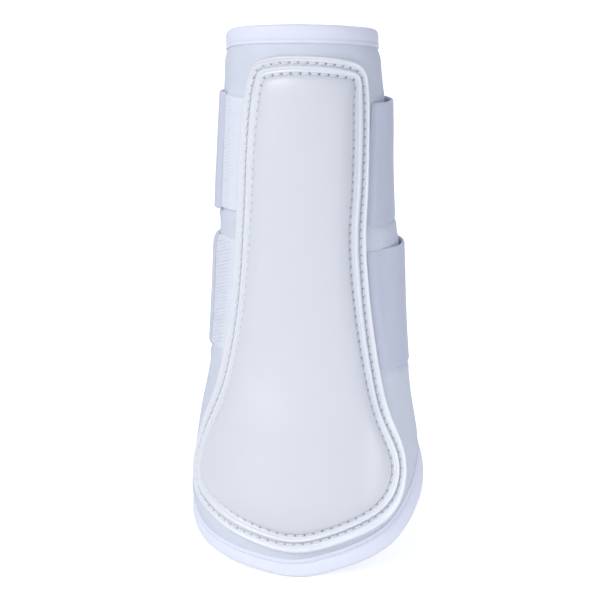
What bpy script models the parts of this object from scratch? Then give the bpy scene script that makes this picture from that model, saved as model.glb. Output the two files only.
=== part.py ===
"""Horse leg boot: a neoprene shell that wraps the cannon bone, with a domed strike pad on its front,
tape-bound edges, and two elastic straps that pull round the back and fasten beside the pad.

Metres, +Z up. The leg's axis is Z, the strike pad faces -Y, and the lowest point of the hem is at z = 0.
Angles go round the leg from the front (0) towards +X (90), so the closing edges meet at 180 at the back.
"""

import math

import bmesh
import bpy
from mathutils import Matrix, Vector

MM = 0.001

# Form of the shell's outer face: height up the leg, half-width across X, sideways shift (mm)
GIRTH = (
    (0, 48.6, 1.0),
    (30, 50.5, 1.0),
    (60, 47.2, 1.0),
    (90, 41.8, 1.2),
    (120, 38.9, 1.2),
    (150, 37.1, 0.8),
    (180, 35.6, 0.1),
    (205, 34.4, -0.6),
    (232, 32.8, -1.0),
)
DEPTH_RATIO = 0.9

# Cut of the long edges: angle (degrees) and height of the hem, mean height and rise of the top edge (mm)
HEM = ((-180, 48), (-98, 21), (-50, 7.2), (-6, 0.3), (45, 12.6), (70, 28), (98, 42), (180, 48))
TOP_HEIGHT = 226.4
TOP_RISE = 6.0

# Layers of the shell, as distances out from its outer face (mm)
SHELL_THICKNESS = 4.4
LINING_THICKNESS = 0.8
GAP = 0.35
HINGE_ANGLE = 98.0
CLOSING_ANGLE = 176.0
PANEL_ROWS = 12
DEGREES_PER_COLUMN = 7.5
SEAM_ANGLE = 0.8
SHARP_ANGLE = 40.0

# Edge tape: a folded strip over the shell and the lining (mm)
TAPE_THICKNESS = 0.7
TAPE_HEIGHT = 7.8
TAPE_INNER_HEIGHT = 6.5
TAPE_FOLD = 1.8
TAPE_EDGE_ROOM = 2.4

# Strike pad: angle (degrees) and height (mm) of the outline's points, and its four corners in that list
PAD_OUTLINE = (
    (-38, 212.5), (-26, 218.6), (-4, 220.6), (27, 219.0),
    (44, 213.5), (48.8, 203), (44.5, 168), (39.5, 140), (41.5, 108), (46, 74), (55.5, 50),
    (53, 34), (42, 23), (20, 15.8), (-6, 11.3), (-32, 16), (-52, 23),
    (-66, 31.5), (-70, 43), (-65.5, 60), (-57.5, 81), (-53, 112), (-50.5, 150), (-46, 190),
)
PAD_CORNERS = (0, 4, 11, 17)
PAD_COLUMNS = 12
PAD_ROWS = 17
PAD_SHEET = 1.2
INSET_STEP = 1.0
CRISP_INSET = 6.0
EVENING = 0.4
EDGE_SAMPLES = 200
SPAN_SAMPLES = 16
# Profiles inwards from the outer edge: distance from the edge, height of the outer face (mm)
WELT_PROFILE = ((0, 1.6), (0.9, 2.4), (2.4, 2.6), (3.8, 1.65), (5.4, 1.6))
COVER_INSET = 4.8
COVER_PROFILE = ((0, 3.2), (0.8, 4.0), (2.2, 4.2), (3.8, 3.25), (6.5, 4.3), (10.5, 5.6))
COVER_CROWN = 0.9
CORE_INSET = 15.2
CORE_PROFILE = ((0, 3.4), (2.5, 3.85))
CORE_THICKNESS = 1.5

# Straps: height of each one's middle where it leaves the pad, and its fall on the way round (mm)
STRAP_MIDDLE = {"upper": 177.6, "lower": 117.2}
STRAP_WIDTH = 50.0
STRAP_FALL = 3.9
STRAP_THICKNESS = 1.4
STRAP_SEAT = 1.45
STRAP_TOP_LIFT = 0.7
STRAP_ROWS = 3
ELASTIC_THICKNESS = 0.75
ELASTIC_WIDTH = 48.5
ELASTIC_ROWS = 4
HOOK_THICKNESS = 0.7
HOOK_MARGIN = 2.0
# Angles along a strap, counted from the front round the left side and the back to the right (degrees)
ELASTIC_END = 86.0
STRAP_START = 72.0
BACK_FOLD = 177.0
TAB_FOLD = 267.0
TAB_END = 315.0
FOLD_CLEARANCE = 0.5
TAB_EDGE_GAP = 1.8
TAB_ROWS = 5

# Fold lines: how far each one stands out from what it carries (mm)
FLAP_HINGE_OFFSET = 3.3
FLAP_HINGE_LOW = 30.0
FLAP_HINGE_HIGH = 220.0
STRAP_HINGE_OFFSET = 0.15
FOLD_MARK_SIZE = 10.0

COLOURS = {
    "neoprene": ((0.80, 0.82, 0.88), 0.85),
    "lining": ((0.78, 0.80, 0.85), 0.90),
    "tape": ((0.86, 0.86, 0.95), 0.75),
    "pad": ((0.82, 0.84, 0.88), 0.38),
    "foam": ((0.70, 0.71, 0.74), 0.90),
    "elastic": ((0.80, 0.81, 0.90), 0.80),
    "strap": ((0.78, 0.79, 0.88), 0.80),
    "hook": ((0.85, 0.85, 0.88), 0.60),
}


def clear_scene():
    for old in list(bpy.data.objects):
        bpy.data.objects.remove(old, do_unlink=True)


def smooth_curve(knots):
    """A curve through (x, y) knots that never overshoots between them."""
    xs = [float(knot[0]) for knot in knots]
    ys = [float(knot[1]) for knot in knots]
    steps = [b - a for a, b in zip(xs, xs[1:])]
    rates = [(b - a) / step for a, b, step in zip(ys, ys[1:], steps)]
    slopes = [rates[0]]
    for before, after in zip(rates, rates[1:]):
        level = before * after <= 0.0
        slopes.append(0.0 if level else 2.0 * before * after / (before + after))
    slopes.append(rates[-1])

    def value(x):
        i = 0
        while i < len(steps) - 1 and x > xs[i + 1]:
            i += 1
        t = (x - xs[i]) / steps[i]
        if t < 0.0:
            return ys[0] + slopes[0] * (x - xs[0])
        if t > 1.0:
            return ys[-1] + slopes[-1] * (x - xs[-1])
        rise = (3.0 - 2.0 * t) * t * t
        bend = t * (1.0 - t) * ((1.0 - t) * slopes[i] - t * slopes[i + 1])
        return ys[i] + rise * (ys[i + 1] - ys[i]) + bend * steps[i]

    return value


half_width = smooth_curve([(z, a) for z, a, _ in GIRTH])
shift = smooth_curve([(z, x) for z, _, x in GIRTH])
hem_height = smooth_curve(HEM)


def top_height(angle):
    return TOP_HEIGHT + TOP_RISE * math.cos(math.radians(angle))


def oval_point(angle, z, half_x, half_y, centre_x):
    turn = math.radians(angle)
    return Vector((centre_x + half_x * math.sin(turn), -half_y * math.cos(turn), z)) * MM


def form_point(angle, z, offset):
    """A point offset (mm) out from the shell's outer face."""
    a = half_width(z)
    return oval_point(angle, z, a + offset, a * DEPTH_RATIO + offset, shift(z))


def arc_angle(length, z):
    """Angle that a length (mm) takes up round the shell at a height."""
    return math.degrees(length / half_width(z))


def strap_low_edge(strap, angle):
    """Height of a strap's lower edge at an angle along it."""
    along = (angle - STRAP_START) / (TAB_END - STRAP_START)
    return STRAP_MIDDLE[strap] - STRAP_FALL * along - STRAP_WIDTH / 2


def strap_point(strap, angle, t, offset):
    """A point on a strap's straight band: t goes from its lower to its upper edge."""
    low = strap_low_edge(strap, angle)
    high = low + STRAP_WIDTH
    out_low = half_width(low)
    out_high = half_width(high)
    seat = STRAP_SEAT + STRAP_TOP_LIFT * t + offset
    a = out_low + (out_high - out_low) * t
    centre = shift(low) + (shift(high) - shift(low)) * t
    return oval_point(-angle, low + STRAP_WIDTH * t, a + seat, a * DEPTH_RATIO + seat, centre)


def make_material(name, look):
    colour, roughness = COLOURS[look]
    material = bpy.data.materials.new(name)
    material.use_nodes = True
    shader = material.node_tree.nodes["Principled BSDF"]
    shader.inputs["Base Color"].default_value = (*colour, 1.0)
    shader.inputs["Roughness"].default_value = roughness
    shader.inputs["Metallic"].default_value = 0.0
    return material


def make_sheet(name, bm, thickness, side, look, carrier, even=True):
    """Turns an open surface into a sheet. side 1 thickens it outwards, -1 inwards."""
    mesh = bpy.data.meshes.new(name)
    bm.to_mesh(mesh)
    bm.free()
    mesh.shade_smooth()
    mesh.set_sharp_from_angle(angle=math.radians(SHARP_ANGLE))
    mesh.materials.append(make_material(name, look))
    piece = bpy.data.objects.new(name, mesh)
    boot.objects.link(piece)
    solid = piece.modifiers.new("thickness", "SOLIDIFY")
    solid.thickness = thickness * MM
    solid.offset = side
    solid.use_even_offset = even
    if carrier:
        piece.parent = carrier
        piece.matrix_parent_inverse = carrier.matrix_world.inverted()


def grid_sheet(name, columns, rows, place, thickness, side, look, carrier=None):
    """A grid whose points (s, t), each from 0 to 1, go where place says."""
    bm = bmesh.new()
    bmesh.ops.create_grid(bm, x_segments=columns, y_segments=rows, size=0.5)
    for vert in bm.verts:
        vert.co = place(vert.co.x + 0.5, vert.co.y + 0.5)
    make_sheet(name, bm, thickness, side, look, carrier)


def columns_for(start, end):
    return max(2, round(abs(end - start) / DEGREES_PER_COLUMN))


def make_fold(name, low, high, parent=None):
    """An empty on a fold line, its own Z along the line."""
    line = (high - low).normalized()
    fold = bpy.data.objects.new(name, None)
    fold.empty_display_size = FOLD_MARK_SIZE * MM
    boot.objects.link(fold)
    turn = line.to_track_quat("Z", "Y").to_matrix().to_4x4()
    place = Matrix.Translation((low + high) / 2) @ turn
    if parent:
        fold.parent = parent
        fold.matrix_parent_inverse = parent.matrix_world.inverted()
    fold.matrix_basis = place
    bpy.context.view_layer.update()
    return fold


def make_wall(name, start, end, carrier=None):
    """One panel of the shell and its lining, between two angles."""

    def layer(offset):
        def place(s, t):
            angle = start + (end - start) * s
            low = hem_height(angle) + TAPE_EDGE_ROOM
            high = top_height(angle) - TAPE_EDGE_ROOM
            return form_point(angle, low + (high - low) * t, offset)

        return place

    columns = columns_for(start, end)
    outer = layer(0)
    inner = layer(-SHELL_THICKNESS - GAP)
    grid_sheet(f"{name}_panel", columns, PANEL_ROWS, outer, SHELL_THICKNESS, -1, "neoprene", carrier)
    grid_sheet(f"{name}_lining", columns, PANEL_ROWS, inner, LINING_THICKNESS, -1, "lining", carrier)


def tape_section():
    """The inside of a folded tape: distance out from the shell, and distance back from the tape's crown."""
    outside = GAP
    inside = -(SHELL_THICKNESS + GAP + LINING_THICKNESS + GAP)
    crown = TAPE_THICKNESS
    return (
        (outside, TAPE_HEIGHT),
        (outside, TAPE_FOLD),
        (outside - TAPE_FOLD, crown),
        (inside + TAPE_FOLD, crown),
        (inside, TAPE_FOLD),
        (inside, TAPE_INNER_HEIGHT),
    )


def make_edge_tapes(name, start, end, carrier=None):
    """The tapes along one panel's top edge and hem."""
    section = tape_section()
    folds = len(section) - 1

    def top_place(s, t):
        angle = start + (end - start) * s
        offset, back = section[round(t * folds)]
        return form_point(angle, top_height(angle) - back, offset)

    def hem_place(s, t):
        angle = start + (end - start) * s
        offset, back = section[folds - round(t * folds)]
        return form_point(angle, hem_height(angle) + back, offset)

    columns = columns_for(start, end)
    grid_sheet(f"{name}_top_binding", columns, folds, top_place, TAPE_THICKNESS, 1, "tape", carrier)
    grid_sheet(f"{name}_bottom_binding", columns, folds, hem_place, TAPE_THICKNESS, 1, "tape", carrier)


def make_closing_tape(name, side, carrier):
    """The tape down a flap's closing edge at the back. side is 1 on the right, -1 on the left."""
    section = tape_section()
    folds = len(section) - 1
    edge = CLOSING_ANGLE + arc_angle(TAPE_EDGE_ROOM, TOP_HEIGHT / 2)
    low = hem_height(180) + TAPE_HEIGHT + 2 * GAP
    high = top_height(180) - TAPE_HEIGHT - 2 * GAP

    def place(s, t):
        step = round(s * folds)
        offset, back = section[step if side > 0 else folds - step]
        z = low + (high - low) * t
        angle = edge - arc_angle(back, z)
        return form_point(side * angle, z, offset)

    grid_sheet(f"{name}_edge_binding", folds, PANEL_ROWS, place, TAPE_THICKNESS, 1, "tape", carrier)


def girth_radius(z):
    return half_width(z) * (1.0 + DEPTH_RATIO) / 2


def outline_span(first, count):
    """Points spread evenly along the pad's outline from one corner to the next, on its flat pattern."""
    points = [Vector((math.radians(angle) * girth_radius(z), z)) for angle, z in PAD_OUTLINE]
    total = len(points)
    begin = PAD_CORNERS[first]
    finish = PAD_CORNERS[(first + 1) % len(PAD_CORNERS)]
    spans = (finish - begin) % total
    fine = []
    for k in range(spans):
        a, b, c, d = (points[(begin + k + j) % total] for j in (-1, 0, 1, 2))
        bend = a * 2 - b * 5 + c * 4 - d
        twist = b * 3 - a - c * 3 + d
        for step in range(SPAN_SAMPLES):
            t = step / SPAN_SAMPLES
            fine.append(b + ((c - a) * t + bend * t**2 + twist * t**3) / 2)
    fine.append(points[finish])
    lengths = [0.0]
    for a, b in zip(fine, fine[1:]):
        lengths.append(lengths[-1] + (b - a).length)
    spread = []
    i = 0
    for step in range(count):
        goal = lengths[-1] * step / count
        while lengths[i + 1] < goal:
            i += 1
        share = (goal - lengths[i]) / (lengths[i + 1] - lengths[i])
        spread.append(fine[i].lerp(fine[i + 1], share))
    return spread


def pad_loop():
    """The pad's outline on its flat pattern, clockwise from its upper left corner."""
    counts = (PAD_COLUMNS, PAD_ROWS, PAD_COLUMNS, PAD_ROWS)
    return [point for side, count in enumerate(counts) for point in outline_span(side, count)]


def loop_directions(loop):
    before = loop[-1:] + loop[:-1]
    after = loop[1:] + loop[:1]
    return [(b - a).normalized() for a, b in zip(before, after)]


def inset_loop(loop, distance):
    """The loop moved inwards in small steps, its points evened out after each so that no corner crosses."""
    steps = math.ceil(distance / INSET_STEP)
    for step in range(steps):
        moved = []
        for point, along in zip(loop, loop_directions(loop)):
            moved.append(point + Vector((along.y, -along.x)) * distance / steps)
        loop = []
        for i, along in enumerate(loop_directions(moved)):
            pull = (moved[i - 1] + moved[(i + 1) % len(moved)]) / 2 - moved[i]
            if step * INSET_STEP < CRISP_INSET:
                pull = along * pull.dot(along)
            loop.append(moved[i] + pull * EVENING)
    return loop


def fill_point(loop, s, t):
    """A point of the grid that fills the loop, from its four sides."""
    columns, rows = PAD_COLUMNS, PAD_ROWS
    i = round(s * columns)
    j = round(t * rows)
    top = loop[i]
    bottom = loop[(2 * columns + rows - i) % len(loop)]
    right = loop[columns + rows - j]
    left = loop[(2 * columns + rows + j) % len(loop)]
    corners = (loop[0], loop[columns], loop[columns + rows], loop[2 * columns + rows])
    across = left.lerp(right, s)
    up = bottom.lerp(top, t)
    flat = corners[3].lerp(corners[2], s).lerp(corners[0].lerp(corners[1], s), t)
    return across + up - flat


def loop_index(s, t):
    """Where a border point of the filling grid comes in the loop."""
    columns, rows = PAD_COLUMNS, PAD_ROWS
    i = round(s * columns)
    j = round(t * rows)
    if j == rows:
        return i
    if i == columns:
        return columns + rows - j
    if j == 0:
        return 2 * columns + rows - i
    return 2 * columns + rows + j


def make_pad_layer(name, inset, profile, crown, thickness, look):
    """A sheet of the strike pad: a filled middle, and rings out to its edge that follow the profile."""
    outline = pad_loop()
    rings = [(inset_loop(outline, inset + distance), height) for distance, height in profile]
    inner_loop, inner_height = rings[-1]
    bm = bmesh.new()
    heights = {}
    ring = [None] * len(outline)
    bmesh.ops.create_grid(bm, x_segments=PAD_COLUMNS, y_segments=PAD_ROWS, size=0.5)
    for vert in bm.verts:
        s = vert.co.x + 0.5
        t = vert.co.y + 0.5
        on_border = vert.is_boundary
        heights[vert] = inner_height + crown * (1 - (2 * s - 1) ** 2) * (1 - (2 * t - 1) ** 4)
        vert.co = fill_point(inner_loop, s, t).to_3d()
        if on_border:
            ring[loop_index(s, t)] = vert
    for loop, height in reversed(rings[:-1]):
        total = len(ring)
        border = [bm.edges.get((ring[i - 1], ring[i])) for i in range(total)]
        made = bmesh.ops.extrude_edge_only(bm, edges=border)["geom"]
        place = {vert: i for i, vert in enumerate(ring)}
        for vert in (item for item in made if isinstance(item, bmesh.types.BMVert)):
            i = next(place[e.other_vert(vert)] for e in vert.link_edges if e.other_vert(vert) in place)
            vert.co = loop[i].to_3d()
            heights[vert] = height
            ring[i] = vert
    for vert, height in heights.items():
        u, z = vert.co.x, vert.co.y
        vert.co = form_point(math.degrees(u / girth_radius(z)), z, height)
    bmesh.ops.recalc_face_normals(bm, faces=bm.faces)
    front = min(bm.faces, key=lambda face: face.calc_center_median().y)
    if front.normal.y > 0:
        bmesh.ops.reverse_faces(bm, faces=bm.faces)
    make_sheet(name, bm, thickness, -1, look, None, even=False)


def pad_edge_angle(side, z):
    """Angle between the front and the pad's edge at a height. side is 1 on the right, -1 on the left."""
    edge = outline_span(1 if side > 0 else 3, EDGE_SAMPLES)
    nearest = min(edge, key=lambda point: abs(point.y - z))
    return side * math.degrees(nearest.x / girth_radius(z))


def make_elastic(strap):
    """The ribbed elastic, from the pad's left edge to under the strap's sewn end."""
    low = strap_low_edge(strap, STRAP_START) + (STRAP_WIDTH - ELASTIC_WIDTH) / 2

    def place(s, t):
        z = low + ELASTIC_WIDTH * t
        start = pad_edge_angle(-1, z) + arc_angle(2 * GAP, z)
        return form_point(-(ELASTIC_END + (start - ELASTIC_END) * s), z, GAP)

    columns = columns_for(pad_edge_angle(-1, STRAP_MIDDLE[strap]), ELASTIC_END)
    grid_sheet(f"{strap}_elastic", columns, ELASTIC_ROWS, place, ELASTIC_THICKNESS, 1, "elastic")


def make_strap_length(name, strap, start, end, carrier=None):
    """One length of a strap between two angles along it."""

    def place(s, t):
        return strap_point(strap, end + (start - end) * s, t, 0)

    grid_sheet(name, columns_for(start, end), STRAP_ROWS, place, STRAP_THICKNESS, 1, "strap", carrier)


def tab_end(strap, t):
    """Angle along a strap where its free end stops, just short of the pad's right edge."""
    z = strap_low_edge(strap, TAB_END) + STRAP_WIDTH * t
    return 360.0 - pad_edge_angle(1, z) - arc_angle(TAB_EDGE_GAP, z)


def make_tab(strap, carrier):
    """The strap's free end, and the hook tape under it."""
    start = TAB_FOLD + FOLD_CLEARANCE

    def tab_place(s, t):
        end = tab_end(strap, t)
        return strap_point(strap, end + (start - end) * s, t, 0)

    def hook_place(s, t):
        inside = (HOOK_MARGIN + (STRAP_WIDTH - 2 * HOOK_MARGIN) * t) / STRAP_WIDTH
        margin = arc_angle(HOOK_MARGIN, STRAP_MIDDLE[strap])
        first = start + margin
        last = tab_end(strap, inside) - margin
        return strap_point(strap, last + (first - last) * s, inside, -GAP)

    columns = columns_for(start, TAB_END)
    grid_sheet(f"{strap}_strap_tab", columns, TAB_ROWS, tab_place, STRAP_THICKNESS, 1, "strap", carrier)
    grid_sheet(f"{strap}_hook_patch", columns, TAB_ROWS, hook_place, HOOK_THICKNESS, -1, "hook", carrier)


def make_strap(strap, left_fold):
    """A strap in the lengths that its folds part it into: front, left side, back and free end."""
    outside = STRAP_THICKNESS + STRAP_HINGE_OFFSET

    def fold_ends(angle):
        return strap_point(strap, angle, 0, outside), strap_point(strap, angle, 1, outside)

    back_fold = make_fold(f"{strap}_back_fold", *fold_ends(BACK_FOLD), left_fold)
    tab_fold = make_fold(f"{strap}_tab_fold", *fold_ends(TAB_FOLD), back_fold)
    make_elastic(strap)
    room = FOLD_CLEARANCE
    make_strap_length(f"{strap}_strap_front", strap, STRAP_START, HINGE_ANGLE - room)
    make_strap_length(f"{strap}_strap_left", strap, HINGE_ANGLE + room, BACK_FOLD - room, left_fold)
    make_strap_length(f"{strap}_strap_back", strap, BACK_FOLD + room, TAB_FOLD - room, back_fold)
    make_tab(strap, tab_fold)


def make_flap(name, side):
    """A flap behind the leg, on its fold line. side is 1 on the right, -1 on the left."""
    angle = side * HINGE_ANGLE
    low = form_point(angle, FLAP_HINGE_LOW, FLAP_HINGE_OFFSET)
    high = form_point(angle, FLAP_HINGE_HIGH, FLAP_HINGE_OFFSET)
    fold = make_fold(f"{name}_fold", low, high)
    ends = sorted((side * (HINGE_ANGLE + SEAM_ANGLE), side * CLOSING_ANGLE))
    make_wall(name, *ends, fold)
    make_edge_tapes(name, *ends, fold)
    make_closing_tape(name, side, fold)
    return fold


clear_scene()
boot = bpy.data.collections.new("leg_boot")
bpy.context.scene.collection.children.link(boot)

make_wall("front", -HINGE_ANGLE + SEAM_ANGLE, HINGE_ANGLE - SEAM_ANGLE)
make_edge_tapes("front", -HINGE_ANGLE + SEAM_ANGLE, HINGE_ANGLE - SEAM_ANGLE)
make_pad_layer("strike_pad_welt", 0, WELT_PROFILE, 0, PAD_SHEET, "pad")
make_pad_layer("strike_pad_core", CORE_INSET, CORE_PROFILE, 0, CORE_THICKNESS, "foam")
make_pad_layer("strike_pad_cover", COVER_INSET, COVER_PROFILE, COVER_CROWN, PAD_SHEET, "pad")
left_flap_fold = make_flap("left", -1)
make_flap("right", 1)
for strap_name in STRAP_MIDDLE:
    make_strap(strap_name, left_flap_fold)
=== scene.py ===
import math

import bmesh
import bpy
import numpy as np
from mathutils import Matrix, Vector


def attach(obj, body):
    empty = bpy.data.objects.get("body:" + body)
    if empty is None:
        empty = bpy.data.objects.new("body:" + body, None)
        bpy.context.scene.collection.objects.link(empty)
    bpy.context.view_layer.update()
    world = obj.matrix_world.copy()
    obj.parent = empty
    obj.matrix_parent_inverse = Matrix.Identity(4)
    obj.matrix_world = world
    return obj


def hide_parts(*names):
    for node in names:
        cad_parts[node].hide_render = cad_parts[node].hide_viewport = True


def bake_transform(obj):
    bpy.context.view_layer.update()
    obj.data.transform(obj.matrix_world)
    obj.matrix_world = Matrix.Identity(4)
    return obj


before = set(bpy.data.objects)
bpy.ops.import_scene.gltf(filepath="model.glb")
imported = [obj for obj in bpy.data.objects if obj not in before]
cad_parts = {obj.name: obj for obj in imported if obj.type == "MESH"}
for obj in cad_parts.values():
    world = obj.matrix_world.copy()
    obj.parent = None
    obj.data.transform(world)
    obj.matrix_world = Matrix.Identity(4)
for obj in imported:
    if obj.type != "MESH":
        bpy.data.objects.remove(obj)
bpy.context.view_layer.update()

scene = bpy.context.scene

MM = 0.001

# Form of the shell's outer face, as in the solids: height up the leg, half-width, sideways shift (mm)
GIRTH = (
    (0, 48.6, 1.0),
    (30, 50.5, 1.0),
    (60, 47.2, 1.0),
    (90, 41.8, 1.2),
    (120, 38.9, 1.2),
    (150, 37.1, 0.8),
    (180, 35.6, 0.1),
    (205, 34.0, -0.5),
    (232, 31.8, -1.4),
)
DEPTH_RATIO = 0.9
# Height of the hem and of the top edge at angles round the boot (degrees from the front, mm)
HEM = (
    (-180, 48), (-98, 20.8), (-66, 9.4), (-50, 5.8), (-28, 2.3), (-6, -0.3),
    (20, 3.6), (45, 10.7), (60, 19.3), (70, 26.5), (98, 41.6), (180, 48),
)
TOP = (
    (-180, 220.6), (-130, 223.8), (-90, 228.0), (-70, 230.3), (-52, 231.6), (-30, 232.5), (0, 232.9),
    (30, 232.4), (52, 231.4), (70, 230.4), (90, 228.6), (130, 224.2), (180, 220.6),
)
# How far the hem stands out from the plain form (degrees, mm), and how far up that reaches
HEM_FLARE = ((-180, 0), (-40, 0), (5, 0.3), (45, 1.5), (65, 1.6), (80, 1.1), (98, 0.5), (150, 0), (180, 0))
FLARE_REACH = 15.0
# Step for the hem's slope (degrees), angles between which its tape turns level, and where shell and tape end
SLOPE_STEP = 0.5
HEM_LEVEL = (164.0, 178.5)
CLOSING_ANGLE = 176.0
TAPED_ANGLE = 179.4

# Shell, lining and edge tape (mm)
SHELL_THICKNESS = 4.4
LINING_DEPTH = 4.7
LINING_THICKNESS = 0.8
# Height where the weave of the shell and the lining has its true width (mm)
CLOTH_HEIGHT = 120
# How far the wall stays inside its tape, and how far the tape presses its inner faces and where past it (mm)
EDGE_ROOM = 1.3
INNER_PINCH = 0.35
INNER_PINCH_END = (-2.5, 0.0)
TAPE_HEIGHT = 7.8
HEM_TAPE_SCALE = (
    (-180, 1.0), (-66, 0.92), (-30, 0.88), (0, 1.02), (20, 1.12), (45, 1.2), (98, 1.2), (180, 1.0),
)
# How deep the tape pinches the shell, and where past the tape that ends (mm)
TAPE_PINCH = 1.1
PINCH_END = (-1.5, 3.5)
# Swellings of the shell (mm): amount, place and reach, past a tape, beside the pad (degrees), past a strap
TAPE_SWELL = (0.2, 5.0, 3.5)
PAD_SWELL = (0.1, 49.0, 5.0)
LOW_SWELL = (0.7, -2.6, 2.4)
HIGH_SWELL = (0.14, 2.4, 2.4)
# On the right side (degrees) it bulges above the lower strap and swells below it (mm past its edges)
RIGHT_SIDE = (35, 60, 110, 150)
RIGHT_BULGE = 1.8
BULGE_SPAN = (-9, -2, -1, 14)
RIGHT_SWELL = (0.8, -6.0, 7.0)
# Where the straps press on it: from these angles on (degrees), and in from their edges (mm)
STRAPPED = (47, 56)
PRESS_START = 56
PRESS_EDGE = (-0.3, 1.2)

# Strike pad: angle (degrees) and height (mm) of its outline, and the four corners in that list
PAD_OUTLINE = (
    (-39.9, 213.4), (-26.5, 219.0), (-4, 220.5), (27, 218.9),
    (46.2, 214.5), (49.6, 203), (43.9, 168), (39.3, 140), (41.5, 108), (46.4, 74), (56, 50),
    (53, 34), (42, 23), (20, 15.6), (-6, 10.7), (-32, 15.8), (-52, 23),
    (-68, 31.5), (-73.5, 44), (-69.5, 60), (-60, 81), (-54.3, 112), (-50.8, 150), (-47.1, 190),
)
PAD_CORNERS = (0, 4, 11, 17)
PAD_COLUMNS = 44
PAD_ROWS = 100
FINE = 4
# Distance of the two seams from the pad's edge at points of the outline (mm): point, outer seam, inner seam
SEAM_KNOTS = (
    (0, 2.8, 7.3), (1.2, 3.2, 7.6), (2.7, 3.1, 7.5), (3.3, 3.1, 7.5), (4, 2.8, 6.6), (4.6, 2.6, 8.0),
    (5.1, 2.4, 8.9), (5.6, 2.1, 8.4), (6, 2.4, 8.2), (7.3, 2.8, 8.2), (9, 3.9, 8.6), (10, 3.3, 9.2),
    (11, 4.1, 10.3), (11.6, 4.8, 10.5), (12.3, 5.1, 9.5), (13, 4.5, 8.7), (14, 4.0, 8.0), (15.5, 2.5, 8.6),
    (17.5, 3.2, 10.4), (18.5, 3.2, 9.8), (20.5, 4.6, 9.2), (22, 4.0, 8.7), (23.4, 3.0, 7.9),
)
# The same seams in the profiles below, with the reach of their grooves, and the bands beside them
OUTER_SEAM = 3.6
INNER_SEAM = 8.6
GROOVES = ((OUTER_SEAM, 0.4), (INNER_SEAM, 0.45))
RIDGES = ((0.5, 3.0), (5.0, 8.0))
RIDGE_EDGE = (-0.5, 0.5)
# Profiles inwards from the pad's edge: distance, height above the shell (mm)
WELT_PROFILE = (
    (0, 0.5), (0.06, 1.1), (0.2, 1.7), (0.45, 2.18), (0.8, 2.43), (1.15, 2.44), (1.5, 2.3), (1.85, 2.04),
    (2.15, 1.9), (2.45, 1.92), (2.75, 1.9), (3.05, 1.74), (3.3, 1.56), (3.6, 1.45), (4.0, 1.45), (4.6, 1.45),
    (5.5, 1.45), (6.5, 1.45),
)
WELT_FLOOR = 0.4
COVER_PROFILE = (
    (4.6, 1.55), (4.7, 1.75), (4.9, 2.15), (5.15, 2.55), (5.45, 2.84), (5.8, 2.94), (6.15, 2.84),
    (6.45, 2.62), (6.7, 2.52), (6.95, 2.6), (7.25, 2.78), (7.6, 2.8), (7.95, 2.64), (8.3, 2.42),
    (8.6, 2.32), (8.8, 2.46), (9.0, 2.84), (9.25, 3.4), (9.6, 3.96), (10.1, 4.38), (10.8, 4.68),
    (11.8, 4.92),
)
COVER_FLOOR = 1.5
CORE_PROFILE = ((12.5, 1.9), (12.9, 2.3), (13.7, 2.6))
CORE_FLOOR = 1.52
SHEET_THICKNESS = 1.1
# The cover lies flatter than the shell: how far its middle sinks, before its stuffing swells it (mm)
PAD_SINK = 1.2
SINK_REACH = 9.0
# The cover is lower in its right corner: where (mm on the flat pattern), how far that reaches, how much lower
LOW_CORNER = (38.0, 38.0)
CORNER_REACH = 18.0
CORNER_DROP = 0.6
# A layer's middle starts in from its profile's end, on its last slope, and swells to a crown (mm)
MIDDLE_INSET = 1.0
SLOPE_RUN = 0.8
PAD_CROWN = 0.5
SWELL_PRESSURE = 40.0
SWELL_STIFFNESS = 5.0
SWELL_FRAMES = 20
# How a loop is moved inwards, smoothed over one of so many parts of it, and how the middle is filled
BLUR_PARTS = 40
INSET_STEP = 0.25
EVENING = 0.45
EVENING_PASSES = 3
ROUNDING = 0.02
DEEP_ROUNDING = 0.4
FILL_PASSES = 400
CROWN_PASSES = 60
SPAN_SAMPLES = 60

# Seams (mm)
PAD_STITCH = 3.55
PAD_THREAD = 0.44
TAPE_STITCH = 2.6
TAPE_THREAD = 0.24
HOLE_DEPTH = 0.6
HOLE_RADIUS = 0.38
LEFT_HOLE_SHARE = 0.35
LEFT_GLOSS_AND_HIGHLIGHT = 0.4
# Where needle holes are shallower with lighter painted shade (degrees, mm); where the bands' gloss and
# painted highlight change (degrees)
HOLE_SIDE = (-24, -10)
HOLE_HEIGHTS = (26, 45, 196, 212)
GLOSS_AND_HIGHLIGHT_SIDE = (-20, 25)
# One stitch: steps from its first hole to its next, how far its ends sink, and how far its thread stands out
PAD_STEPS = np.linspace(0.08, 0.92, 11)
PAD_STITCH_RISE = (0, 0.3, 0.7, 1)
PAD_STITCH_SINK = 0.45
PAD_STITCH_STAND = 0.62
TAPE_STEPS = np.linspace(0.12, 0.88, 7)
TAPE_STITCH_SINK = 0.1
# Where a thread's taper is cut at its ends (radians of half a turn), and how blunt it is
THREAD_END = 0.12
THREAD_TAPER = 0.35

# Straps (mm, and degrees along a strap from the front round the left side and the back)
STRAP_MIDDLE = {"upper": 177.6, "lower": 117.2}
STRAP_WIDTH = 50.0
STRAP_FALL = 3.9
# How far a strap rises off its straight run (mm) at angles along it
STRAP_RISE = {
    "upper": ((50, -0.4), (62, 0.1), (75, 0.9), (110, 0.9), (160, 0.3), (230, 0), (290, 0.2), (315, 1.0)),
    "lower": ((50, 0), (75, 0.5), (110, 0.5), (160, 0.2), (220, 0), (275, -0.75), (315, -0.9)),
}
STRAP_THICKNESS = 1.35
# How much wider a strap is towards its free end (mm) at angles along it
STRAP_EXTRA = {
    "upper": ((50, 0), (220, 0), (275, 0.7), (315, 2.9)),
    "lower": ((50, 0), (220, 0), (270, 1.7), (315, 1.2)),
}
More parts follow.
